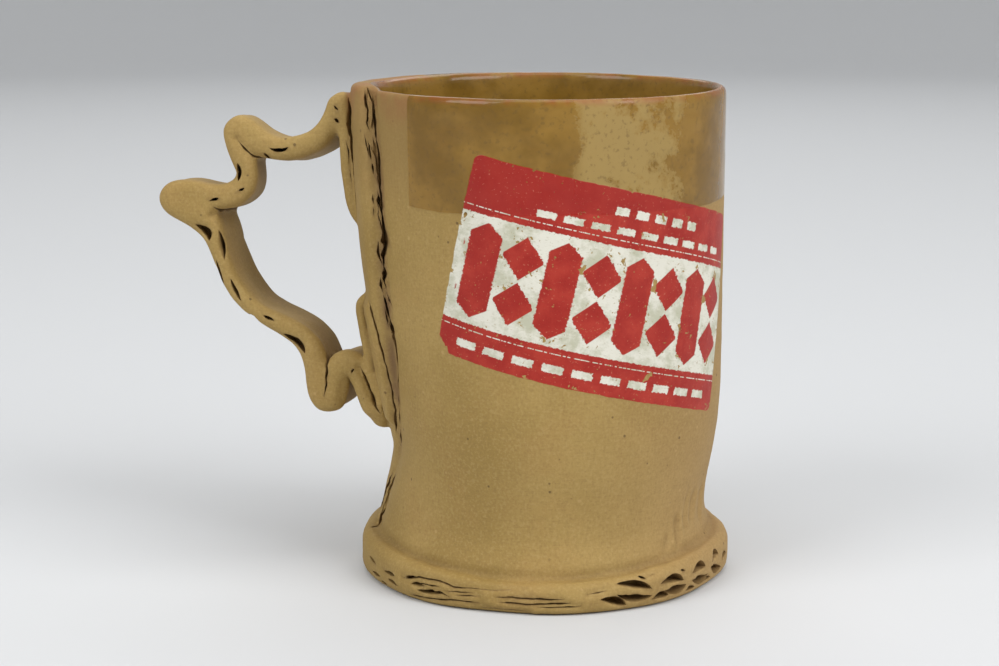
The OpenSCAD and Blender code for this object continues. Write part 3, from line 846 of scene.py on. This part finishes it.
clay = g.mix(g.mul(g.ramp(grain, 0.5, 0.68), 0.25), clay, rgb(186, 160, 108))
clay = g.mix(g.mul(g.ramp(grain, 0.48, 0.32), 0.25), clay, rgb(128, 102, 60))
speck = g.cells(where, 420)
speck_pick = g.node("ShaderNodeSeparateColor")
g.put(speck_pick.inputs[0], g.cells(where, 420, "Color"))
dark_specks = g.mul(g.ramp(speck, 0.2, 0.1), g.ramp(speck_pick.outputs[0], 0.93, 0.94))
pale_specks = g.mul(g.ramp(speck, 0.24, 0.12), g.ramp(speck_pick.outputs[1], 0.95, 0.96))
clay = g.mix(g.mul(dark_specks, 0.7), clay, rgb(84, 62, 38))
clay = g.mix(g.mul(pale_specks, 0.3), clay, rgb(200, 168, 114))
clay = g.mix(g.mul(crest, 0.25), clay, rgb(190, 160, 108))
# Painted shade: creases, cracks and slots darkened by how concave they are
clay = g.mix(g.mul(hollow, 0.7), clay, rgb(78, 54, 30))
# The cutters' faces darker brown: partly the torn clay's own colour, partly painted shade inside
# the slots and cracks
clay = g.mix(g.mul(g.value("torn"), 0.65), clay, rgb(108, 80, 50))
# Along the slab's proud edge: painted shade in the groove at its root, partly also the torn clay's
# darker colour
clay = g.mix(g.mul(g.value("seam"), g.ramp(cloud_2, 0.2, 0.6), 0.8), clay, rgb(104, 76, 52))
# Painted shade: the bare wall's upper part on either side of the handle is darkened
unglazed = g.math("MAXIMUM", g.ramp(turned, -34, -46), g.ramp(turned, 225, 235))
shade = g.mul(g.ramp(height, 86, 108), g.inv(handle), unglazed)
clay = g.mix(g.mul(shade, 0.55), clay, rgb(134, 106, 60))
flush = g.mul(g.ramp(height, 110, RIM_Z), g.inv(handle), unglazed, g.ramp(cloud_2, 0.3, 0.6))
clay = g.mix(g.mul(flush, 0.65), clay, rgb(146, 92, 58))

# Glaze: inside all over, and outside in a band below the rim
low_edge = g.add(93.3, g.mul(g.sub(g.noise(where, 60, 2), 0.5), 3.0))
band = g.mul(g.ramp(turned, -44.2, -43.3), g.ramp(turned, 230, 228), g.inv(handle),
             g.ramp(g.sub(height, low_edge), -0.3, 0.3))
glazed = g.math("MAXIMUM", g.mul(band, out_side), g.inv(out_side))
mottle = g.noise(where, 55, 4, 0.62)
streaks = g.noise(g.stretch(where, (1, 1, 3)), 130, 3, 0.65)
glaze = g.mix(g.ramp(mottle, 0.38, 0.64), rgb(118, 88, 32), rgb(143, 109, 46))
glaze = g.mix(g.mul(g.ramp(streaks, 0.52, 0.7), 0.35), glaze, rgb(134, 98, 36))
smear_zone = g.mul(g.ramp(turned, 8.0, 16.0), g.ramp(turned, 56.0, 46.0))
smear = g.add(g.noise(where, 90, 5, 0.7), g.mul(smear_zone, 0.2))
smear = g.mul(g.ramp(smear, 0.58, 0.7), smear_zone)
glaze = g.mix(g.mul(smear, g.ramp(outside, -0.2, 0.2), 0.8), glaze, rgb(162, 136, 80))
grit = g.noise(where, 900, 2)
glaze = g.mix(g.mul(g.ramp(grit, 0.55, 0.72), 0.4), glaze, rgb(98, 74, 38))
rim = g.mul(g.ramp(height, 117.2, 118.9), g.ramp(g.noise(where, 120, 3, 0.7), 0.36, 0.6))
glaze = g.mix(g.mul(rim, 0.6), glaze, rgb(138, 74, 36))

# The print: a red, white and red label with plain worn shapes in it
lu, lv = g.value("label_u"), g.value("label_v")
flat = g.vector(g.mul(lu, 0.001), g.mul(lv, 0.001), 0.0)
fray = g.mul(g.sub(g.noise(flat, 1300, 3, 0.6), 0.5), 1.2)
coarse = g.mul(g.sub(g.noise(flat, 260, 3, 0.6), 0.5), 2.4)
lu2, lv2 = g.add(lu, fray), g.add(lv, g.mul(fray, 0.9))
corner = 1.8


def past_corner(along, half):
    return g.math("MAXIMUM", g.sub(g.math("ABSOLUTE", g.sub(along, half)), half - corner), 0.0)


dx = past_corner(g.add(lu, g.mul(coarse, 0.35)), LABEL_W / 2)
dy = past_corner(g.add(lv, g.mul(coarse, 0.3)), LABEL_H / 2)
reach = g.math("SQRT", g.add(g.mul(dx, dx), g.mul(dy, dy)))
label = g.ramp(reach, corner + 0.12, corner - 0.12)
label = g.mul(label, g.ramp(g.add(lu, lv, g.mul(coarse, 2.0)), 3.4, 3.8))
top_line, low_line = 34.3, 8.6
white = g.mul(g.ramp(lv2, low_line - 0.1, low_line + 0.1),
              g.ramp(lv2, top_line + 0.1, top_line - 0.1))

# In the white field, a row of fat pointed bars, each second one split into two diamonds
BAR_PITCH, BARS_FROM = 9.45, 2.2
cell = g.math("FLOOR", g.mul(g.sub(lu, BARS_FROM), 1 / BAR_PITCH))
across = g.sub(g.sub(lu2, BARS_FROM), g.mul(g.add(cell, 0.5), BAR_PITCH))
upright = g.sub(lv2, (top_line + low_line) / 2)
ax, ay = g.math("ABSOLUTE", across), g.math("ABSOLUTE", upright)
bar = g.math("MAXIMUM", g.sub(ax, 3.9), g.sub(g.add(g.mul(ax, 0.7), ay), 11.4))
odd = g.math("PINGPONG", cell, 1.0)
diamond = g.sub(g.add(ax, g.math("ABSOLUTE", g.sub(ay, 5.4))), 5.1)
shape = g.add(g.mul(odd, diamond), g.mul(g.inv(odd), bar))
inked = g.mul(g.ramp(shape, 0.15, -0.15), g.ramp(lu, 1.6, 2.2), g.ramp(lu, 78.2, 77.6))

# Thin broken lines beside the white field, and rows of short dashes in the red bands
broken = g.ramp(g.noise(g.vector(g.mul(lu, 0.001), 0.0, 0.0), 900, 2, 0.6), 0.45, 0.5)
level = g.add(lv, g.mul(fray, 0.12))
pins = g.add(g.ramp(g.math("ABSOLUTE", g.sub(level, top_line + 1.5)), 0.17, 0.07),
             g.ramp(g.math("ABSOLUTE", g.sub(level, low_line - 1.4)), 0.17, 0.07))
pins = g.mul(pins, broken)


def dashes(first, last, level, pitch, length, tall):
    local = g.sub(g.math("MODULO", g.sub(lu2, first), pitch), pitch / 2)
    inside = g.mul(g.ramp(g.math("ABSOLUTE", local), length / 2 + 0.1, length / 2 - 0.1),
                   g.ramp(g.math("ABSOLUTE", g.sub(lv2, level)), tall / 2 + 0.1, tall / 2 - 0.1))
    return g.mul(inside, g.math("GREATER_THAN", lu, first), g.math("LESS_THAN", lu, last))


marks = g.math("MAXIMUM", dashes(34.0, 61.0, 42.2, 5.4, 3.4, 1.9),
               dashes(16.0, 74.5, 37.9, 6.5, 4.6, 1.6))
marks = g.math("MAXIMUM", marks, dashes(4.0, 75.0, 3.7, 7.1, 5.0, 1.8))
pale = g.math("MAXIMUM", g.mul(white, g.inv(inked)), g.math("MAXIMUM", pins, marks))
red = g.mix(g.ramp(g.noise(where, 170, 3, 0.6), 0.35, 0.7), rgb(156, 33, 23), rgb(172, 50, 36))
red = g.mix(g.mul(g.ramp(grain, 0.55, 0.75), 0.3), red, rgb(136, 26, 18))
red = g.mix(g.mul(band, 0.6), red, rgb(148, 28, 20))
worn = g.noise(flat, 110, 5, 0.7)
paper = g.mix(g.ramp(worn, 0.42, 0.62), rgb(221, 218, 204), rgb(188, 187, 164))
scuffs = g.ramp(g.noise(g.stretch(flat, (1, 3, 1)), 700, 3, 0.7), 0.56, 0.7)
paper = g.mix(g.mul(scuffs, 0.5), paper, rgb(170, 162, 130))
rub = g.ramp(g.noise(flat, 1500, 2, 0.6), 0.64, 0.7)
red = g.mix(g.mul(rub, 0.5), red, rgb(196, 120, 96))
printed = g.mix(pale, red, paper)
chip_field = g.noise(flat, 240, 4, 0.65, 0.4)
seam_near = g.mul(g.ramp(g.math("ABSOLUTE", g.sub(shape, 0.5)), 1.2, 0.2), white)
rim_near = g.ramp(reach, corner - 1.6, corner)
likely = g.add(g.mul(pale, 0.03), g.mul(seam_near, 0.035), g.mul(rim_near, 0.05))
chips = g.ramp(g.add(chip_field, likely), 0.675, 0.695)
flecks = g.ramp(g.add(g.noise(flat, 800, 3, 0.6), likely), 0.66, 0.69)
chips = g.math("MAXIMUM", chips, g.mul(flecks, g.ramp(chip_field, 0.46, 0.58)))
label = g.mul(label, g.inv(chips), out_side, g.inv(g.mul(hollow, 2.0)))

ground = g.mix(glazed, clay, glaze)
colour = g.mix(label, ground, printed)
g.put(g.shader.inputs["Base Color"], colour)
g.shader.inputs["Specular IOR Level"].default_value = 0.32
rough = g.add(0.72, g.mul(g.sub(grain, 0.5), 0.2))
rough = g.add(g.mul(rough, g.inv(label)), g.mul(label, 0.5))
gloss = g.add(0.16, g.mul(smear, 0.3), g.mul(g.ramp(mottle, 0.45, 0.7), 0.1))
g.put(g.shader.inputs["Roughness"], g.add(g.mul(rough, g.inv(glazed)), g.mul(gloss, glazed)))

# Grain, pits and faint drag marks, nearly drowned where glaze covers them
bare = g.inv(g.mul(glazed, 0.85))
bump_height = g.add(g.mul(g.sub(grain, 0.5), 0.00006), g.mul(g.noise(where, 420, 3, 0.6), 0.00010),
                    g.mul(g.noise(g.stretch(where, (1, 1, 0.25)), 160, 2), 0.00008),
                    g.mul(dark_specks, -0.00006))
bump_height = g.add(g.mul(bump_height, bare), g.mul(label, 0.00006),
                    g.mul(g.noise(where, 150, 2), glazed, 0.00010))
bump = g.node("ShaderNodeBump")
bump.inputs["Distance"].default_value = 1.0
bump.inputs["Strength"].default_value = 0.8
g.put(bump.inputs["Height"], bump_height)
g.put(g.shader.inputs["Normal"], bump.outputs[0])
body.data.materials.clear()
body.data.materials.append(g.material)
body.data.polygons.foreach_set("material_index", np.zeros(len(body.data.polygons), np.int32))

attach(body, "root")
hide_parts("mug")

# ---------------------------------------------------------------- floor, lights and camera
# In metres.  The camera looks down by PITCH degrees from AZIMUTH, turned a little by TURN so that
# the mug sits right of the picture's middle
AZIMUTH, TURN, PITCH, AWAY, HIGH, FOCAL = 8, 1.15, 10.7, 0.549, 0.162, 81.66
CENTRE = np.array([0, 0, 0.06])


def floor_sheet():
    """A pale round floor that curves up into a wall all round."""
    flat_r, bend_r, wall_top, count = 1.7, 0.7, 2.6, 96
    bend = [(flat_r + bend_r * math.sin(t), bend_r * (1 - math.cos(t)))
            for t in np.linspace(0.13, math.pi / 2, 12)]
    profile = [(0.7, 0.0), (flat_r, 0.0)] + bend + [(flat_r + bend_r, wall_top)]
    points = [(0, 0, 0)]
    for radius, rise in profile:
        for i in range(count):
            t = 2 * math.pi * i / count
            points.append((radius * math.cos(t), radius * math.sin(t), rise))
    faces = [(0, 1 + i, 1 + (i + 1) % count) for i in range(count)]
    for j in range(len(profile) - 1):
        for i in range(count):
            k = (i + 1) % count
            low, high = 1 + j * count, 1 + (j + 1) * count
            faces.append((low + i, high + i, high + k, low + k))
    mesh = bpy.data.meshes.new("floor")
    mesh.from_pydata(points, [], faces)
    for polygon in mesh.polygons:
        polygon.use_smooth = True
    return new_object("floor", mesh)


floor = floor_sheet()
f = Graph("floor")
f.shader.inputs["Base Color"].default_value = (0.64, 0.65, 0.66, 1)
f.shader.inputs["Roughness"].default_value = 0.75
floor.data.materials.append(f.material)


def pose(x, y, z, place):
    """The matrix of something at place whose own axes point along x, y and z."""
    return Matrix([[x[i], y[i], z[i], place[i]] for i in range(3)] + [[0, 0, 0, 1]])


def softbox(name, azimuth, elevation, distance, width, tall, power):
    """An area lamp that looks at the mug; azimuth 0 is the camera's side, positive to the right."""
    t, e = math.radians(AZIMUTH + azimuth), math.radians(elevation)
    back = np.array([math.sin(t) * math.cos(e), -math.cos(t) * math.cos(e), math.sin(e)])
    place = CENTRE + distance * back
    lamp = bpy.data.lights.new(name, "AREA")
    lamp.shape, lamp.size, lamp.size_y = "RECTANGLE", width, tall
    lamp.energy = power
    obj = bpy.data.objects.new(name, lamp)
    bpy.context.scene.collection.objects.link(obj)
    x = np.cross([0, 0, 1], back)
    x /= np.linalg.norm(x)
    obj.matrix_world = pose(x, np.cross(back, x), back, place)


softbox("left", -50, 36, 1.6, 0.8, 1.0, 11.4)
softbox("right", 54, 36, 1.6, 1.0, 1.0, 15.6)
softbox("above", 10, 80, 1.6, 1.3, 1.3, 10)
softbox("behind", 180, 42, 1.7, 1.4, 1.0, 7)

world = bpy.data.worlds.new("room")
bpy.context.scene.world = world
world.use_nodes = True
world.node_tree.nodes["Background"].inputs["Color"].default_value = (1, 1, 1, 1)
world.node_tree.nodes["Background"].inputs["Strength"].default_value = 0.25

az, pitch, yaw = math.radians(AZIMUTH), math.radians(PITCH), math.radians(TURN)
ahead = np.array([-math.sin(az), math.cos(az), 0])
beside = np.array([math.cos(az), math.sin(az), 0])
forward = ahead * math.cos(yaw) - beside * math.sin(yaw)
right = beside * math.cos(yaw) + ahead * math.sin(yaw)
down = np.array([0, 0, -1.0])
look = forward * math.cos(pitch) + down * math.sin(pitch)
upward = forward * math.sin(pitch) - down * math.cos(pitch)
place = np.array([AWAY * math.sin(az), -AWAY * math.cos(az), HIGH])
lens_data = bpy.data.cameras.new("camera")
lens_data.lens, lens_data.sensor_width = FOCAL, 36
lens_data.clip_start, lens_data.clip_end = 0.01, 20
camera = bpy.data.objects.new("camera", lens_data)
bpy.context.scene.collection.objects.link(camera)
camera.matrix_world = pose(right, upward, -look, place)
bpy.context.scene.camera = camera
bpy.context.scene.view_settings.view_transform = "Standard"
